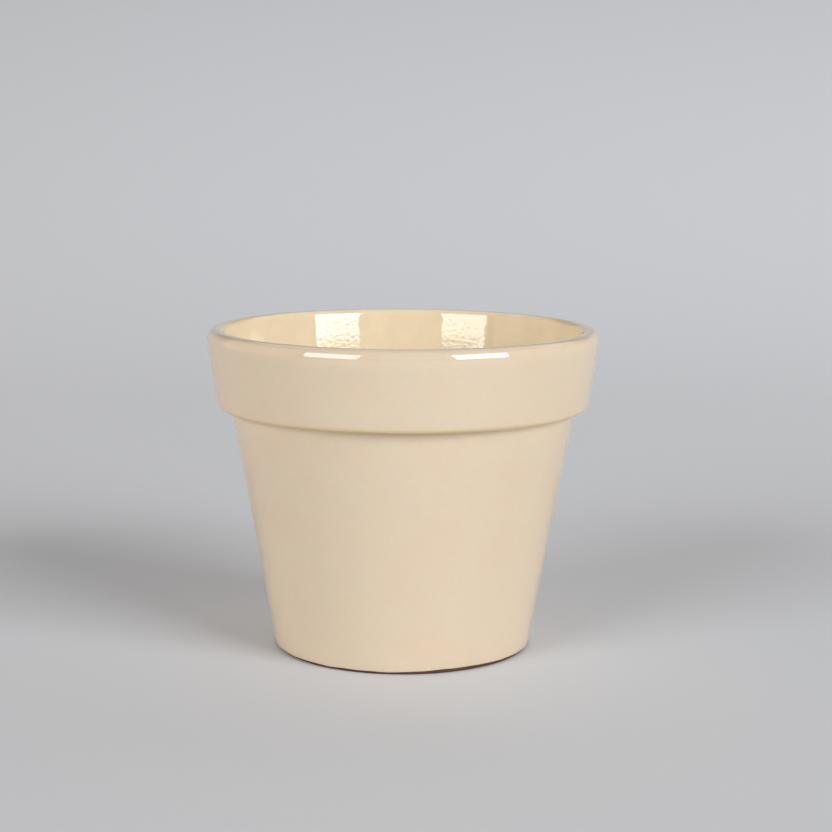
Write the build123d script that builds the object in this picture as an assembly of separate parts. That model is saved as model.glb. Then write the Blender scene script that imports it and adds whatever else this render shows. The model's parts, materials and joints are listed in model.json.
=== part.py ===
from build123d import *

import math
import os

# A round plant pot of red clay, glazed cream inside and out. It stands on z = 0 with its axis on Z.
# Sizes are in millimetres and angles in degrees. Outer sizes are measured over the glaze.

# Outside
RIM_DIAMETER = 140.0
POT_HEIGHT = 115.5
BODY_TAPER = 10.25  # lean of the body's wall from upright
FOOT_DIAMETER = 92.2  # where the body's glazed slope would meet the floor
COLLAR_HEIGHT = 28.1
COLLAR_TAPER = 8.1
SHOULDER_DROP = 5.3  # the collar's slope turns upright this far below the lip
SHOULDER_ROUND = 14.6
COLLAR_EDGE_ROUND = 2.3
COLLAR_ROOT_ROUND = 1.5

# Lip
LIP_WIDTH = 5.6
LIP_ROLL_DROP = 2.45  # the outer side's upright face turns inward this far below the crest
LIP_ROLL_IN = 1.3  # level width of the slope that follows, up to the crest
LIP_ROLL_ROUND = 6.1
LIP_OUTER_ROUND = 2.0
LIP_INNER_ROUND = 2.0

# Inside
BODY_WALL = 6.1  # level thickness of the body's wall, both coats of glaze included
LEDGE_ABOVE = 4.0  # the inside steps in between these heights above and below the collar's root
LEDGE_BELOW = 6.0
LEDGE_ROUND = 14.0
FLOOR_HEIGHT = 9.6
FLOOR_FALL = 0.6  # the floor drops this much from the wall to the drain hole
FLOOR_CORNER_ROUND = 9.0

# Bare foot and drain hole
GLAZE = 0.5
GLAZE_LINE = 1.1  # height at which the outside coat stops above the foot
FOOT_EDGE_ROUND = 0.6
FOOT_RING_WIDTH = 7.0
RECESS_DEPTH = 1.5
RECESS_SLOPE = 2.0
RECESS_ROUND = 1.0
DRAIN_RADIUS = 8.0
DRAIN_TOP_ROUND = 2.0
DRAIN_BOTTOM_ROUND = 1.0

RIM_RADIUS = RIM_DIAMETER / 2
COLLAR_BASE = POT_HEIGHT - COLLAR_HEIGHT
SHOULDER = POT_HEIGHT - SHOULDER_DROP
LEDGE_TOP = COLLAR_BASE + LEDGE_ABOVE
LEDGE_BOTTOM = COLLAR_BASE - LEDGE_BELOW
CREST_RADIUS = RIM_RADIUS - LIP_WIDTH / 2
CLEAR = 10.0  # how far the cutting outlines reach past the pot


def body_radius(z):
    """Outer radius of the body's slope at height z."""
    return FOOT_DIAMETER / 2 + z * math.tan(math.radians(BODY_TAPER))


def collar_radius(z):
    """Outer radius of the collar's slope at height z."""
    return RIM_RADIUS - (SHOULDER - z) * math.tan(math.radians(COLLAR_TAPER))


def mouth_radius(z):
    """Inner radius inside the collar at height z, parallel to the collar's slope."""
    return RIM_RADIUS - LIP_WIDTH - (POT_HEIGHT - z) * math.tan(math.radians(COLLAR_TAPER))


def hollow_radius(z):
    """Inner radius below the ledge at height z, parallel to the body's slope."""
    return body_radius(z) - BODY_WALL


def wall_middle():
    """Points down the middle of the wall, from the lip's crest to the foot."""
    return [
        (CREST_RADIUS, POT_HEIGHT + CLEAR),
        (CREST_RADIUS, POT_HEIGHT - LIP_WIDTH),
        ((collar_radius(LEDGE_TOP) + mouth_radius(LEDGE_TOP)) / 2, LEDGE_TOP),
        ((body_radius(LEDGE_BOTTOM) + hollow_radius(LEDGE_BOTTOM)) / 2, LEDGE_BOTTOM),
        ((body_radius(GLAZE_LINE) + hollow_radius(GLAZE_LINE)) / 2, GLAZE_LINE),
    ]


def coated_section():
    """Half section of the pot with a coat of glaze on every side, the foot and drain hole included."""
    sole = -GLAZE
    recess = RECESS_DEPTH - GLAZE
    ring = body_radius(sole) - FOOT_RING_WIDTH
    drain = DRAIN_RADIUS - GLAZE
    corners = [
        ((body_radius(sole), sole), FOOT_EDGE_ROUND + GLAZE),
        ((body_radius(COLLAR_BASE), COLLAR_BASE), COLLAR_ROOT_ROUND),
        ((collar_radius(COLLAR_BASE), COLLAR_BASE), COLLAR_EDGE_ROUND),
        ((RIM_RADIUS, SHOULDER), SHOULDER_ROUND),
        ((RIM_RADIUS, POT_HEIGHT - LIP_ROLL_DROP), LIP_ROLL_ROUND),
        ((RIM_RADIUS - LIP_ROLL_IN, POT_HEIGHT), LIP_OUTER_ROUND),
        ((RIM_RADIUS - LIP_WIDTH, POT_HEIGHT), LIP_INNER_ROUND),
        ((mouth_radius(LEDGE_TOP), LEDGE_TOP), LEDGE_ROUND),
        ((hollow_radius(LEDGE_BOTTOM), LEDGE_BOTTOM), LEDGE_ROUND),
        ((hollow_radius(FLOOR_HEIGHT), FLOOR_HEIGHT), FLOOR_CORNER_ROUND),
        ((drain, FLOOR_HEIGHT - FLOOR_FALL), DRAIN_TOP_ROUND + GLAZE),
        ((drain, recess), DRAIN_BOTTOM_ROUND + GLAZE),
        ((ring - RECESS_SLOPE, recess), RECESS_ROUND),
        ((ring, sole), RECESS_ROUND),
    ]
    points = [point for point, _ in corners]
    rounds = [radius for _, radius in corners]
    outline = FilletPolyline(*points, radius=rounds, close=True)
    return make_face(outline)


def clay_section():
    """Half section of the fired clay alone: the coated section less one coat all round."""
    return offset(coated_section(), amount=-GLAZE)


def outside_zone():
    """The part of the section that the outside coat is sprayed on: above the glaze line, out from the crest."""
    reach = RIM_RADIUS + CLEAR
    points = wall_middle() + [(reach, GLAZE_LINE), (reach, POT_HEIGHT + CLEAR)]
    return make_face(Polyline(*points, close=True))


def inside_zone():
    """The part of the section that the inside coat is poured on: in from the crest, as far as the drain hole."""
    drain_edge = DRAIN_RADIUS + DRAIN_TOP_ROUND
    points = wall_middle() + [(drain_edge, GLAZE_LINE), (drain_edge, POT_HEIGHT + CLEAR)]
    return make_face(Polyline(*points, close=True))


def above_base(face):
    """The part of a half section that lies above the middle of the pot's base."""
    base_middle = (FLOOR_HEIGHT + RECESS_DEPTH) / 2
    upper = Pos(0, base_middle) * Rectangle(
        4 * RIM_RADIUS, 2 * POT_HEIGHT, align=(Align.CENTER, Align.MIN)
    )
    return face & upper


def turned(face):
    """The solid that a half section makes when it is turned about the pot's axis."""
    return revolve(Plane.XZ * face, axis=Axis.Z)


def clay_body():
    """Jiggered pot of red clay: body, collar, lip, floor with its drain hole, and the bare foot ring."""
    return turned(clay_section())


def outside_glaze():
    """Coat of glaze from the lip's crest over the collar and down the body to the glaze line."""
    coat = coated_section() - clay_section()
    return turned(coat & outside_zone())


def inside_glaze():
    """Coat of glaze from the lip's crest down the inner wall and over the floor to the drain hole."""
    coat = coated_section() - clay_section()
    return turned(above_base(coat & inside_zone()))


def main():
    pieces = {
        "clay_body": clay_body(),
        "outside_glaze": outside_glaze(),
        "inside_glaze": inside_glaze(),
    }
    os.makedirs("parts", exist_ok=True)
    for name, solid in pieces.items():
        export_step(solid, f"parts/{name}.step")


main()
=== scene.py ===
import json
import math

import bpy
import numpy as np
from bpy.props import FloatProperty, FloatVectorProperty, IntProperty, PointerProperty
from mathutils import Matrix, Vector, noise


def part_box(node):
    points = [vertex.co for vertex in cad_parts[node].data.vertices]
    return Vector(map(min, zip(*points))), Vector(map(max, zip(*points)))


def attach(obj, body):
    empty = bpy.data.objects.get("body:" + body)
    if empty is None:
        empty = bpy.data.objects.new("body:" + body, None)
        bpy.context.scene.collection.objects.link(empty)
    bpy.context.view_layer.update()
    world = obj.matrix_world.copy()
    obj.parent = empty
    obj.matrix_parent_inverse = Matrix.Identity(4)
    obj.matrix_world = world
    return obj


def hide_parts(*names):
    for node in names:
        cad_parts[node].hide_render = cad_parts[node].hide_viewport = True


bl_info = {
    "name": "Glazed Clay Plant Pot",
    "version": (1, 0, 0),
    "blender": (4, 5, 0),
    "location": "3D View > Sidebar > Plant Pot",
    "description": "Builds a cream-glazed clay plant pot around its packed parts, with a plain studio",
    "category": "Object",
}

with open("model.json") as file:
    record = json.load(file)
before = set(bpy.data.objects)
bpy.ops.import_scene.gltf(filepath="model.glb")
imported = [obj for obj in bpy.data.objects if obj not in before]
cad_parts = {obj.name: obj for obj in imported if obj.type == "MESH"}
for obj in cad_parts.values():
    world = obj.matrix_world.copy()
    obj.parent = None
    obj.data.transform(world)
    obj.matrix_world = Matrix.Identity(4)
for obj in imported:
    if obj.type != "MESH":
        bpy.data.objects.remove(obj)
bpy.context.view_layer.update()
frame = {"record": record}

MM = 0.001
CLAY_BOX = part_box("clay_body")
OUTSIDE_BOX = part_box("outside_glaze")
INSIDE_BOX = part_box("inside_glaze")
DRAIN = next(m for m in frame["record"]["mounts"] if m["name"] == "drain_hole")


def linear(colour):
    """Turns an sRGB hex colour into linear red, green, blue and an alpha of 1."""
    parts = [int(colour[i : i + 2], 16) / 255 for i in (1, 3, 5)]
    return [c / 12.92 if c <= 0.04045 else ((c + 0.055) / 1.055) ** 2.4 for c in parts] + [1.0]


def length(name, description, default):
    """A property that holds a length in metres."""
    return FloatProperty(
        name=name, description=description, default=default, unit="LENGTH", precision=5, min=0.0
    )


def angle(name, description, degrees):
    """A property that holds an angle."""
    return FloatProperty(
        name=name, description=description, default=math.radians(degrees), unit="ROTATION"
    )


def paint(name, description, colour):
    """A property that holds a colour, given as sRGB hex."""
    return FloatVectorProperty(
        name=name, description=description, default=linear(colour), size=4, subtype="COLOR", min=0, max=1
    )


class PotShape(bpy.types.PropertyGroup):
    """Sizes of the pot over its glaze."""

    rim_radius: length("Rim Radius", "Widest radius, at the top of the collar", OUTSIDE_BOX[1].x)
    height: length("Height", "From the floor to the lip's crest", INSIDE_BOX[1].z)
    glaze: length("Glaze", "Thickness of a coat of glaze", INSIDE_BOX[1].z - CLAY_BOX[1].z)
    glaze_line: length("Glaze Line", "Where the outside coat stops above the floor", OUTSIDE_BOX[0].z)
    lip_width: length("Lip Width", "Across the lip", 2 * (OUTSIDE_BOX[1].x - INSIDE_BOX[1].x))
    drain_radius: length("Drain Radius", "Radius of the drain hole", DRAIN["dims"]["r_mm"] * MM)
    foot_radius: length("Foot Radius", "Where the body's slope meets the floor", 46.1 * MM)
    body_taper: angle("Body Taper", "Lean of the body's wall from upright", 10.25)
    collar_taper: angle("Collar Taper", "Lean of the collar from upright", 8.1)
    collar_height: length("Collar Height", "Height of the rim collar", 28.1 * MM)
    shoulder_drop: length("Shoulder Drop", "Where the collar turns upright below the lip", 5.3 * MM)
    shoulder_round: length("Shoulder Round", "Radius of that turn", 14.6 * MM)
    lip_roll_drop: length("Lip Roll Drop", "Where the outer face turns inward below the crest", 2.45 * MM)
    lip_roll_in: length("Lip Roll In", "Level width of the slope that follows", 1.3 * MM)
    lip_roll_round: length("Lip Roll Round", "Radius of that turn", 6.1 * MM)
    lip_outer_round: length("Lip Outer Round", "Radius from the slope on to the crest", 2.0 * MM)
    lip_inner_round: length("Lip Inner Round", "Radius of the lip's inner edge", 2.0 * MM)
    collar_edge_round: length("Collar Edge Round", "Radius of the collar's lower edge", 2.3 * MM)
    collar_root_round: length("Collar Root Round", "Radius of the glaze under the collar", 1.5 * MM)
    wall: length("Wall", "Level thickness of the body's wall", 6.1 * MM)
    ledge_above: length("Ledge Above", "Top of the inside ledge, above the collar's root", 4.0 * MM)
    ledge_below: length("Ledge Below", "Bottom of the inside ledge, below the root", 6.0 * MM)
    ledge_round: length("Ledge Round", "Radius of the ledge's bends", 14.0 * MM)
    floor_height: length("Floor Height", "Height of the inside floor at the wall", 9.6 * MM)
    floor_fall: length("Floor Fall", "Drop of the floor towards the drain hole", 0.6 * MM)
    floor_round: length("Floor Round", "Radius between the wall and the inside floor", 9.0 * MM)
    foot_edge_round: length("Foot Edge Round", "Radius of the bare foot's outer edge", 0.6 * MM)
    foot_ring: length("Foot Ring", "Width of the foot ring", 7.0 * MM)
    recess_depth: length("Recess Depth", "Depth of the hollow underside", 1.5 * MM)
    recess_slope: length("Recess Slope", "Width of the slope inside the foot ring", 2.0 * MM)
    recess_round: length("Recess Round", "Radius of that slope's bends", 1.0 * MM)
    drain_top_round: length("Drain Top Round", "Radius of the drain hole's upper edge", 2.0 * MM)
    drain_bottom_round: length("Drain Bottom Round", "Radius of its lower edge", 1.0 * MM)
    segments: IntProperty(name="Segments", description="Steps round the pot", default=320, min=32)


class PotFinish(bpy.types.PropertyGroup):
    """Colours and surface sizes of the glaze, the bare clay and the sweep."""

    glaze_colour: paint("Glaze", "Cream glaze where it lies thick", "#DCCBB2")
    # painted light: the inside coat's colour is lighter than the outside glaze, standing in for the front
    # lamps' light on the inner wall; only its slightly more cream tint is the thicker poured coat
    poured_and_painted_light_colour: paint("Poured Glaze", "The inside coat, poured and so a little thicker", "#ECDBBB")
    blush_colour: paint("Blush", "Glaze where the red clay warms it from below", "#DDC9B0")
    # painted shade: both bare clay colours are darkened to the contact shadow along the foot; the scorched
    # patches between them are random tone
    clay_painted_shade_colour: paint("Clay", "Bare fired clay", "#63432F")
    scorched_clay_painted_shade_colour: paint("Dark Clay", "Bare clay where the fire or glaze has darkened it", "#452D1F")
    sweep_colour: paint("Sweep", "Pale paper that the pot stands on", "#DBDFE5")
    blush_size: length("Blush Size", "Width of the warm patches in the glaze", 16.0 * MM)
    mottle_size: length("Mottle Size", "Width of the fine mottling in the glaze", 1.6 * MM)
    peel_size: length("Peel Size", "Width of the ripples of the poured inside coat", 1.4 * MM)
    peel_height: length("Peel Height", "Height of those ripples", 0.014 * MM)
    wipe_wander: length("Wipe Wander", "How far the wiped glaze line wanders", 0.9 * MM)
    wipe_turn: angle("Wipe Turn", "Where round the foot the sponge reached highest", -61.0)
    ring_pitch: length("Ring Pitch", "Height between the tool's rings inside", 4.0 * MM)
    ring_depth: length("Ring Depth", "Depth of those rings", 0.008 * MM)
    # pool colour: partly glaze that pooled thick, partly painted bounce light, the warm light in the crease
    # under the collar and in the inside floor's corner
    pooled_glaze_and_painted_bounce_colour: paint("Pool", "Glaze where it lies thick in the groove", "#E9CFA6")
    grit_size: length("Grit Size", "Width of a grain in the bare clay", 0.5 * MM)


class Studio(bpy.types.PropertyGroup):
    """The camera and the lights."""

    camera_distance: length("Camera Distance", "From the pot's axis", 696.1 * MM)
    camera_height: length("Camera Height", "Above the floor", 191.2 * MM)
    camera_pitch: angle("Camera Pitch", "Downward tilt", 8.811)
    camera_yaw: angle("Camera Yaw", "Turn to the right", 0.387)
    camera_roll: angle("Camera Roll", "Tilt about the line of sight", 0.33)
    left_azimuth: angle("Left Azimuth", "The left box's turn from the camera's side", 43.0)
    left_elevation: angle("Left Elevation", "Height of the left box's centre, seen from the pot", 21.65)
    left_height: length("Left Height", "Up the left box", 2.2)
    left_power: FloatProperty(name="Left Power", description="Left box, in watts", default=130.0)
    right_azimuth: angle("Right Azimuth", "The right box's turn from the camera's side", 47.5)
    right_elevation: angle("Right Elevation", "Height of the right box's centre", 22.6)
    right_height: length("Right Height", "Up the right box", 2.4)
    right_power: FloatProperty(name="Right Power", description="Right box, in watts", default=199.0)
    box_width: length("Soft Box Width", "Across each box", 2.85)
    box_roll: angle("Soft Box Roll", "How far each box's outer end hangs low", 4.0)
    left_flat_power: FloatProperty(name="Left Flat", description="Left flat, in watts", default=20.0)
    right_flat_power: FloatProperty(name="Right Flat", description="Right flat, in watts", default=12.0)
    flat_colour: paint("Flat Colour", "Tint of the side flats' light", "#FFE4C8")
    overhead_power: FloatProperty(name="Overhead Power", description="Panel, in watts", default=6.9)
    room_light: FloatProperty(name="Room Light", description="Even light from all round", default=0.02)
    lens: FloatProperty(name="Lens", description="Focal length in millimetres", default=84.29, min=1.0)


# Shape -----------------------------------------------------------------------------------------


def body_radius(shape, z):
    return shape.foot_radius + z * math.tan(shape.body_taper)


def collar_radius(shape, z):
    shoulder = shape.height - shape.shoulder_drop
    return shape.rim_radius - (shoulder - z) * math.tan(shape.collar_taper)


def mouth_radius(shape, z):
    return shape.rim_radius - shape.lip_width - (shape.height - z) * math.tan(shape.collar_taper)


def hollow_radius(shape, z):
    return body_radius(shape, z) - shape.wall


def outside_line(shape, start):
    """(r, z, round) corners of the pot's outer surface, from a height up to the lip's crest."""
    root = shape.height - shape.collar_height
    crest = shape.rim_radius - shape.lip_width / 2
    return [
        (body_radius(shape, start), start, 0),
        (body_radius(shape, root), root, shape.collar_root_round),
        (collar_radius(shape, root), root, shape.collar_edge_round),
        (shape.rim_radius, shape.height - shape.shoulder_drop, shape.shoulder_round),
        (shape.rim_radius, shape.height - shape.lip_roll_drop, shape.lip_roll_round),
        (shape.rim_radius - shape.lip_roll_in, shape.height, shape.lip_outer_round),
        (crest, shape.height, 0),
    ]


def inside_line(shape):
    """(r, z, round) corners of the inner surface, from the crest down to the drain hole's edge."""
    root = shape.height - shape.collar_height
    ledge_top, ledge_low = root + shape.ledge_above, root - shape.ledge_below
    floor = shape.floor_height
    return [
        (shape.rim_radius - shape.lip_width / 2, shape.height, 0),
        (shape.rim_radius - shape.lip_width, shape.height, shape.lip_inner_round),
        (mouth_radius(shape, ledge_top), ledge_top, shape.ledge_round),
        (hollow_radius(shape, ledge_low), ledge_low, shape.ledge_round),
        (hollow_radius(shape, floor), floor, shape.floor_round),
        (shape.drain_radius + shape.drain_top_round, floor - shape.floor_fall, 0),
    ]


def inset(corners, depth):
    """The same open line of corners, moved by depth to its left-hand side, into the clay."""
    runs = [Vector(b[:2]) - Vector(a[:2]) for a, b in zip(corners, corners[1:])]
    sides = [Vector((-run.y, run.x)).normalized() for run in runs]
    moved = []
    for i, (r, z, radius) in enumerate(corners):
        before, after = sides[max(i - 1, 0)], sides[min(i, len(sides) - 1)]
        shift = (before + after) / (1 + before.dot(after)) * depth
        bend = before.x * after.y - before.y * after.x
        moved.append((r + shift.x, z + shift.y, max(radius - math.copysign(depth, bend), 0)))
        if i in (0, len(corners) - 1):
            moved[-1] = moved[-1][:2] + (0,)
    return moved


def coat(line, glaze):
    """Closed corners of a coat of glaze: a surface line, then back along the clay under it."""
    under = inset(line, glaze)
    return line + under[::-1]


def rounded(corners, straight_step, arc_step):
    """Points round a closed outline of (r, z, round) corners, and the indices of its sharp ones."""
    points, sharp = [], []
    count = len(corners)
    for i, (r, z, radius) in enumerate(corners):
        here = Vector((r, z))
        back = (Vector(corners[i - 1][:2]) - here).normalized()
        ahead = (Vector(corners[(i + 1) % count][:2]) - here).normalized()
        if radius == 0:
            sharp.append(len(points))
            points.append(here)
            continue
        half = back.angle(ahead) / 2
        centre = here + (back + ahead).normalized() * (radius / math.sin(half))
        spoke = here + back * (radius / math.tan(half)) - centre
        turn = math.pi - 2 * half
        if back.x * ahead.y - back.y * ahead.x > 0:
            turn = -turn
        steps = max(3, math.ceil(abs(turn) * radius / arc_step))
        for k in range(steps + 1):
            points.append(centre + Matrix.Rotation(turn * k / steps, 2) @ spoke)
    filled, moved = [], []
    for i, point in enumerate(points):
        if i in sharp:
            moved.append(len(filled))
        after = points[(i + 1) % len(points)]
        steps = max(1, math.ceil((after - point).length / straight_step))
        filled += [point.lerp(after, k / steps) for k in range(steps)]
    return np.array([tuple(p) for p in filled]), moved


def turned(name, outline, sharp, segments, shift=None):
    """A closed mesh made by turning an outline of (r, z) points about Z, with smooth faces.

    Rings in sharp keep a crisp edge. shift moves the vertices: it takes and returns (n, 3) places.
    """
    turn = np.linspace(0, 2 * math.pi, segments, endpoint=False)
    r, z = outline[:, 0][:, None], outline[:, 1][:, None]
    places = np.stack([r * np.cos(turn), r * np.sin(turn), np.broadcast_to(z, (len(r), segments))], -1)
    places = places.reshape(-1, 3)
    if shift:
        places = shift(places)
    rings = len(outline)
    ring = np.arange(rings)[:, None]
    step = np.arange(segments)[None, :]
    next_ring, next_step = (ring + 1) % rings, (step + 1) % segments
    faces = np.stack(
        [
            ring * segments + step,
            ring * segments + next_step,
            next_ring * segments + next_step,
            next_ring * segments + step,
        ],
        -1,
    ).reshape(-1, 4)
    mesh = bpy.data.meshes.new(name)
    mesh.from_pydata(places.tolist(), [], faces.tolist())
    mesh.shade_smooth()
    ends = np.empty(len(mesh.edges) * 2, int)
    mesh.edges.foreach_get("vertices", ends)
    ends = ends.reshape(-1, 2) // segments
    crisp = (ends[:, 0] == ends[:, 1]) & np.isin(ends[:, 0], sharp)
    mesh.attributes.new("sharp_edge", "BOOLEAN", "EDGE").data.foreach_set("value", crisp)
    mesh.validate()
    piece = bpy.data.objects.new(name, mesh)
    bpy.context.scene.collection.objects.link(piece)
    return piece


def kiln_warp(places):
    """Moves places by the slow, slight warp that drying and firing leave in the whole pot."""
    size, amount = 55 * MM, 0.1 * MM
    moved = [p + noise.noise_vector(p / size) * amount for p in map(Vector, places)]
    return np.array([tuple(p) for p in moved])


def hand_wiped(places, shape, finish):
    """Lets the outside glaze's lower edge wander, where a sponge wiped the foot clean by hand."""
    reach = 6 * finish.wipe_wander
    for place in places:
        if place[2] > shape.glaze_line + reach:
            continue
        turn = math.atan2(place[1], place[0])
        round_foot = Vector((math.cos(turn), math.sin(turn), 0.0))
        lean = 0.5 + 0.5 * math.cos(turn - finish.wipe_turn)
        wander = 0.6 * lean**16 - 0.3 + 0.35 * noise.noise(round_foot * shape.foot_radius / (9 * MM))
        share = 1 - (place[2] - shape.glaze_line) / reach
        place[2] += finish.wipe_wander * wander * min(1.0, max(0.0, share))
    return places


def jiggered(places, shape, finish):
    """Shallow rings that the profile tool left in the clay inside the pot, each one level."""
    for place in places:
        radius = math.hypot(place[0], place[1])
        rings = noise.noise(Vector((place[2] / finish.ring_pitch, radius / (40 * MM), 3.0)))
        depth = finish.ring_depth * rings * min(1.0, (shape.height - place[2]) / (4 * MM))
        place[:2] *= 1 + depth / max(radius, shape.drain_radius)
    return places


def sit(places):
    """Keeps the foot on the floor after a warp."""
    places[:, 2] = np.maximum(places[:, 2], 0.0)
    return places


# Finish ----------------------------------------------------------------------------------------


def add(tree, kind, settings, inputs):
    """Adds a node: settings are its own values, and inputs are socket values or sockets to link from."""
    made = tree.nodes.new(kind)
    for key, value in settings.items():
        setattr(made, key, value)
    for key, value in inputs.items():
        if isinstance(value, bpy.types.NodeSocket):
            tree.links.new(value, made.inputs[key])
        else:
            made.inputs[key].default_value = value
    return made


def new_material(name):
    """An empty node material and its tree."""
    material = bpy.data.materials.new(name)
    material.use_nodes = True
    material.node_tree.nodes.clear()
    return material, material.node_tree


def tin_glaze(name, finish, colour, warmth, peel, groove):
    """Opaque cream earthenware glaze, poured and sprayed on red clay, then fired glossy.

    The melt levels itself to a bright smooth skin with a faint ripple, peel times the poured coat's.
    The clay warms it in soft patches, as far as warmth, and undissolved tin leaves a fine mottling.
    Where it ran together, at the height groove, it is thicker and more honey-coloured, and the warm light
    bounced into that crease is painted into the colour there too.
    """
    material, tree = new_material(name)
    place = add(tree, "ShaderNodeTexCoord", {}, {}).outputs["Object"]
    blush = add(
        tree, "ShaderNodeTexNoise", {}, {"Vector": place, "Scale": 1 / finish.blush_size, "Detail": 2.0}
    )
    patches = add(
        tree,
        "ShaderNodeMapRange",
        {"interpolation_type": "SMOOTHSTEP"},
        {"Value": blush.outputs["Fac"], "From Min": 0.42, "From Max": 0.68, "To Max": warmth},
    )
    body = add(
        tree,
        "ShaderNodeMix",
        {"data_type": "RGBA"},
        {"Factor": patches.outputs["Result"], "A": colour, "B": finish.blush_colour},
    )
    # painted bounce light: the pool colour is mixed in near the groove's height, for thicker glaze and for the
    # warm light bounced into that crease
    height = add(tree, "ShaderNodeSeparateXYZ", {}, {"Vector": place})
    off = add(tree, "ShaderNodeMath", {"operation": "SUBTRACT"}, {0: height.outputs["Z"], 1: groove})
    gap = add(tree, "ShaderNodeMath", {"operation": "ABSOLUTE"}, {0: off.outputs["Value"]})
    thick = add(
        tree,
        "ShaderNodeMapRange",
        {"interpolation_type": "SMOOTHSTEP"},
        {"Value": gap.outputs["Value"], "From Min": 2.4 * MM, "From Max": 0.3 * MM},
    )
    pooled_and_painted_bounce = add(
        tree,
        "ShaderNodeMix",
        {"data_type": "RGBA"},
        {"Factor": thick.outputs["Result"], "A": body.outputs["Result"], "B": finish.pooled_glaze_and_painted_bounce_colour},
    )
    mottle = add(
        tree, "ShaderNodeTexNoise", {}, {"Vector": place, "Scale": 1 / finish.mottle_size, "Detail": 3.0}
    )
    value = add(
        tree,
        "ShaderNodeMapRange",
        {},
        {"Value": mottle.outputs["Fac"], "From Min": 0.2, "From Max": 0.8, "To Min": 0.985, "To Max": 1.015},
    )
    toned = add(
        tree,
        "ShaderNodeHueSaturation",
        {},
        {"Color": pooled_and_painted_bounce.outputs["Result"], "Value": value.outputs["Result"]},
    )
    ripple = add(
        tree, "ShaderNodeTexNoise", {}, {"Vector": place, "Scale": 1 / finish.peel_size, "Detail": 1.0}
    )
    bump = add(
        tree,
        "ShaderNodeBump",
        {},
        {"Height": ripple.outputs["Fac"], "Strength": 1.0, "Distance": finish.peel_height * peel},
    )
    shader = add(
        tree,
        "ShaderNodeBsdfPrincipled",
        {},
        {
            "Base Color": toned.outputs["Color"],
            "Roughness": 0.05,
            "IOR": 1.6,
            "Subsurface Weight": 0.15,
            "Subsurface Radius": (1.0, 0.6, 0.4),
            "Subsurface Scale": 0.8 * MM,
            "Normal": bump.outputs["Normal"],
        },
    )
    add(tree, "ShaderNodeOutputMaterial", {}, {"Surface": shader.outputs["BSDF"]})
    return material


def bisque_terracotta(finish):
    """Bare red clay, fired and unglazed: dry, dusty and open, with sand grains and scorched patches. Both clay
    colours are darkened as painted shade, the contact shadow along the foot painted into the clay.
    """
    material, tree = new_material("bisque_terracotta")
    place = add(tree, "ShaderNodeTexCoord", {}, {}).outputs["Object"]
    scorch = add(tree, "ShaderNodeTexNoise", {}, {"Vector": place, "Scale": 1 / (9 * MM), "Detail": 4.0})
    body = add(
        tree,
        "ShaderNodeMix",
        {"data_type": "RGBA"},
        # the clay colours mixed here carry painted shade, darkened to the foot's contact shadow
        {"Factor": scorch.outputs["Fac"], "A": finish.clay_painted_shade_colour, "B": finish.scorched_clay_painted_shade_colour},
    )
    grit = add(tree, "ShaderNodeTexNoise", {}, {"Vector": place, "Scale": 1 / finish.grit_size, "Detail": 4.0})
    bump = add(
        tree,
        "ShaderNodeBump",
        {},
        {"Height": grit.outputs["Fac"], "Strength": 1.0, "Distance": 0.12 * MM},
    )
    shader = add(
        tree,
        "ShaderNodeBsdfPrincipled",
        {},
        {
            "Base Color": body.outputs["Result"],
            "Roughness": 0.85,
            "IOR": 1.5,
            "Normal": bump.outputs["Normal"],
        },
    )
    add(tree, "ShaderNodeOutputMaterial", {}, {"Surface": shader.outputs["BSDF"]})
    return material


def sweep_paper(finish):
    """Pale matt backdrop paper, even and slightly toothed."""
    material, tree = new_material("backdrop_paper")
    shader = add(
        tree,
        "ShaderNodeBsdfPrincipled",
        {},
        {"Base Color": finish.sweep_colour, "Roughness": 0.7, "IOR": 1.45, "Specular IOR Level": 0.3},
    )
    add(tree, "ShaderNodeOutputMaterial", {}, {"Surface": shader.outputs["BSDF"]})
    return material


def settle(piece, node, material):
    """Gives a piece its finish, hangs it on the root body and hides the CAD part that it stands in for."""
    piece.data.materials.append(material)
    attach(piece, "root")
    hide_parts(node)


# Operators -------------------------------------------------------------------------------------


class PLANTPOT_OT_clay(bpy.types.Operator):
    """Builds the fired clay under the glaze, with its bare foot and drain hole"""

    bl_idname = "plantpot.clay"
    bl_label = "Clay Body"

    def execute(self, context):
        shape, finish = context.scene.pot_shape, context.scene.pot_finish
        skin = shape.glaze + 0.02 * MM
        ring = shape.foot_radius - shape.glaze - shape.foot_ring
        line = inset(outside_line(shape, 0.0)[:-1] + inside_line(shape)[1:], skin)
        line[0] = (body_radius(shape, 0) - skin, 0.0, shape.foot_edge_round)
        line[-1] = (shape.drain_radius, line[-1][1], shape.drain_top_round)
        sole = [
            (shape.drain_radius, shape.recess_depth, shape.drain_bottom_round),
            (ring - shape.recess_slope, shape.recess_depth, shape.recess_round),
            (ring, 0, shape.recess_round / 2),
        ]
        outline, sharp = rounded(line + sole, 3.0 * MM, 0.4 * MM)
        piece = turned(
            "clay_pot", outline, sharp, shape.segments, lambda places: sit(kiln_warp(places))
        )
        settle(piece, "clay_body", bisque_terracotta(finish))
        return {"FINISHED"}


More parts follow.
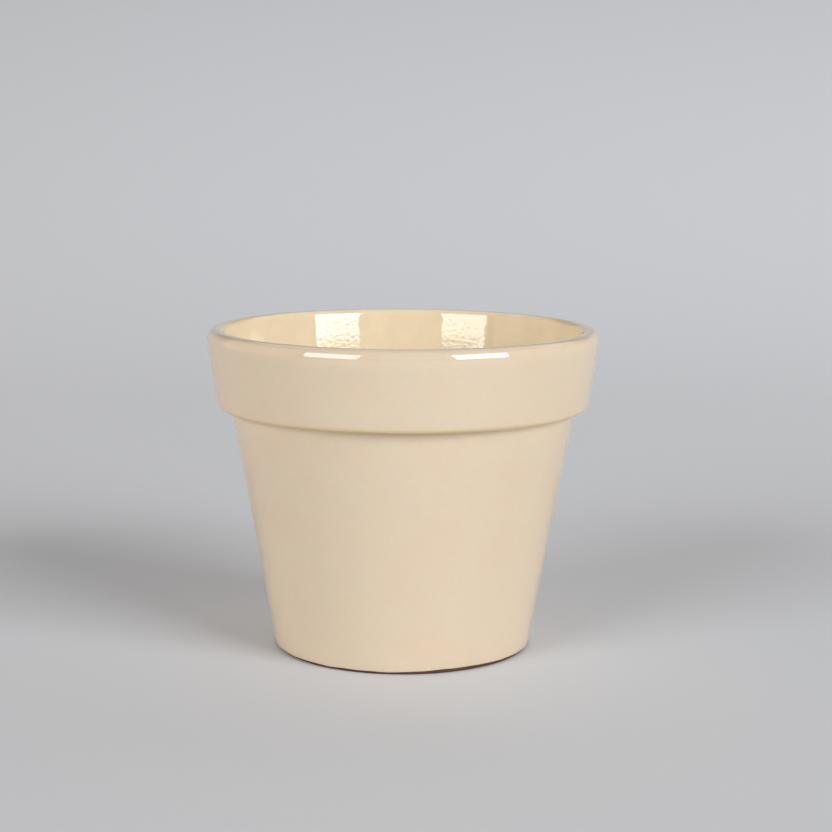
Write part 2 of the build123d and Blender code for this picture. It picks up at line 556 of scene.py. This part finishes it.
class PLANTPOT_OT_outside(bpy.types.Operator):
    """Builds the glaze coat from the lip's crest down the outside to the glaze line"""

    bl_idname = "plantpot.outside"
    bl_label = "Outside Glaze"

    def execute(self, context):
        shape, finish = context.scene.pot_shape, context.scene.pot_finish
        corners = coat(outside_line(shape, shape.glaze_line), shape.glaze)
        corners[0] = corners[0][:2] + (0.8 * shape.glaze,)
        outline, sharp = rounded(corners, 2.5 * MM, 0.3 * MM)
        piece = turned(
            "outside_glaze_coat",
            outline,
            sharp,
            shape.segments,
            lambda places: kiln_warp(hand_wiped(places, shape, finish)),
        )
        root = shape.height - shape.collar_height
        glaze = tin_glaze("tin_glaze_outside", finish, finish.glaze_colour, 1.0, 0.3, root)
        settle(piece, "outside_glaze", glaze)
        return {"FINISHED"}


class PLANTPOT_OT_inside(bpy.types.Operator):
    """Builds the glaze coat from the lip's crest down the inside and over the floor"""

    bl_idname = "plantpot.inside"
    bl_label = "Inside Glaze"

    def execute(self, context):
        shape, finish = context.scene.pot_shape, context.scene.pot_finish
        corners = coat(inside_line(shape), shape.glaze)
        edge = len(corners) // 2 - 1
        corners[edge] = corners[edge][:2] + (0.8 * shape.glaze,)
        outline, sharp = rounded(corners, 1.4 * MM, 0.45 * MM)
        piece = turned(
            "inside_glaze_coat",
            outline,
            sharp,
            shape.segments,
            lambda places: kiln_warp(jiggered(places, shape, finish)),
        )
        # the inside coat gets the lighter colour, painted light on the inner wall over the poured coat's cream
        # tint
        glaze = tin_glaze("tin_glaze_inside", finish, finish.poured_and_painted_light_colour, 0.3, 1.0, shape.floor_height)
        settle(piece, "inside_glaze", glaze)
        return {"FINISHED"}


class PLANTPOT_OT_stage(bpy.types.Operator):
    """Sets out the paper sweep, the soft lights and the camera"""

    bl_idname = "plantpot.stage"
    bl_label = "Stage"

    def execute(self, context):
        studio, finish = context.scene.pot_studio, context.scene.pot_finish
        self.sweep(finish)
        self.lights(context, studio)
        self.camera(context, studio)
        return {"FINISHED"}

    def sweep(self, finish):
        """One wide sheet: level under the pot, then curving up gently behind it."""
        half_width, front, level_end, bend = 9.0, -9.0, 0.6, 3.0
        line = [(front, 0.0)]
        line += [
            (level_end + bend * math.sin(a), bend - bend * math.cos(a))
            for a in np.linspace(0, math.radians(50), 31)
        ]
        places = [(x, y, z) for y, z in line for x in (-half_width, half_width)]
        faces = [(2 * i, 2 * i + 1, 2 * i + 3, 2 * i + 2) for i in range(len(line) - 1)]
        mesh = bpy.data.meshes.new("sweep")
        mesh.from_pydata(places, [], faces)
        mesh.shade_smooth()
        mesh.materials.append(sweep_paper(finish))
        sweep = bpy.data.objects.new("sweep", mesh)
        bpy.context.scene.collection.objects.link(sweep)

    def lights(self, context, studio):
        """Two soft boxes in front, a white flat each side, and a low wide panel over the sweep."""
        for side, turn, rise, height, power in (
            ("left", -studio.left_azimuth, studio.left_elevation, studio.left_height, studio.left_power),
            ("right", studio.right_azimuth, studio.right_elevation, studio.right_height, studio.right_power),
        ):
            box = self.panel(context, "soft_box_" + side, turn, rise, 5.0, (studio.box_width, height), power)
            box.rotation_euler.rotate_axis("Z", -math.copysign(studio.box_roll, turn))
        for side, turn, power in (
            ("left", -math.radians(97), studio.left_flat_power),
            ("right", math.radians(97), studio.right_flat_power),
        ):
            flat = self.panel(context, "flat_" + side, turn, math.radians(14), 2.5, (3.0, 2.0), power)
            flat.data.color = studio.flat_colour[:3]
        overhead = self.lamp(context, "overhead", (2.6, 1.0), studio.overhead_power)
        overhead.location = (0.5, 1.0, 1.25)
        world = bpy.data.worlds.new("room")
        world.use_nodes = True
        world.node_tree.nodes["Background"].inputs["Color"].default_value = (1, 1, 1, 1)
        world.node_tree.nodes["Background"].inputs["Strength"].default_value = studio.room_light
        context.scene.world = world
        context.scene.view_settings.view_transform = "Standard"

    def lamp(self, context, name, size, power):
        """A rectangular light that faces down."""
        light = bpy.data.lights.new(name, "AREA")
        light.shape = "RECTANGLE"
        light.size, light.size_y = size
        light.energy = power
        lamp = bpy.data.objects.new(name, light)
        lamp.visible_camera = False
        context.scene.collection.objects.link(lamp)
        return lamp

    def panel(self, context, name, turn, rise, distance, size, power):
        """A light that faces the pot, its turn measured round from the camera's side."""
        away = Vector((math.sin(turn) * math.cos(rise), -math.cos(turn) * math.cos(rise), math.sin(rise)))
        lamp = self.lamp(context, name, size, power)
        lamp.location = away * distance + Vector((0, 0, CLAY_BOX[1].z / 2))
        lamp.rotation_euler = away.to_track_quat("Z", "Y").to_euler()
        return lamp

    def camera(self, context, studio):
        """A long lens, a little above the rim, looking slightly down."""
        data = bpy.data.cameras.new("camera")
        data.sensor_width, data.lens = 36.0, studio.lens
        camera = bpy.data.objects.new("camera", data)
        turn = (
            Matrix.Rotation(-studio.camera_yaw, 3, "Z")
            @ Matrix.Rotation(math.pi / 2 - studio.camera_pitch, 3, "X")
            @ Matrix.Rotation(studio.camera_roll, 3, "Z")
        )
        camera.rotation_euler = turn.to_euler()
        camera.location = (0, -studio.camera_distance, studio.camera_height)
        context.scene.collection.objects.link(camera)
        context.scene.camera = camera


class PLANTPOT_PT_panel(bpy.types.Panel):
    """Lists what can be built"""

    bl_idname = "PLANTPOT_PT_panel"
    bl_label = "Plant Pot"
    bl_space_type = "VIEW_3D"
    bl_region_type = "UI"
    bl_category = "Plant Pot"

    def draw(self, context):
        for operator in OPERATORS:
            self.layout.operator(operator.bl_idname)


OPERATORS = (PLANTPOT_OT_clay, PLANTPOT_OT_outside, PLANTPOT_OT_inside, PLANTPOT_OT_stage)
GROUPS = {"pot_shape": PotShape, "pot_finish": PotFinish, "pot_studio": Studio}


def register():
    for group, kind in GROUPS.items():
        bpy.utils.register_class(kind)
        setattr(bpy.types.Scene, group, PointerProperty(type=kind))
    for kind in OPERATORS + (PLANTPOT_PT_panel,):
        bpy.utils.register_class(kind)


def unregister():
    for kind in OPERATORS + (PLANTPOT_PT_panel,):
        bpy.utils.unregister_class(kind)
    for group, kind in GROUPS.items():
        delattr(bpy.types.Scene, group)
        bpy.utils.unregister_class(kind)


def main():
    register()
    bpy.ops.plantpot.clay()
    bpy.ops.plantpot.outside()
    bpy.ops.plantpot.inside()
    bpy.ops.plantpot.stage()


if __name__ == "__main__":
    main()
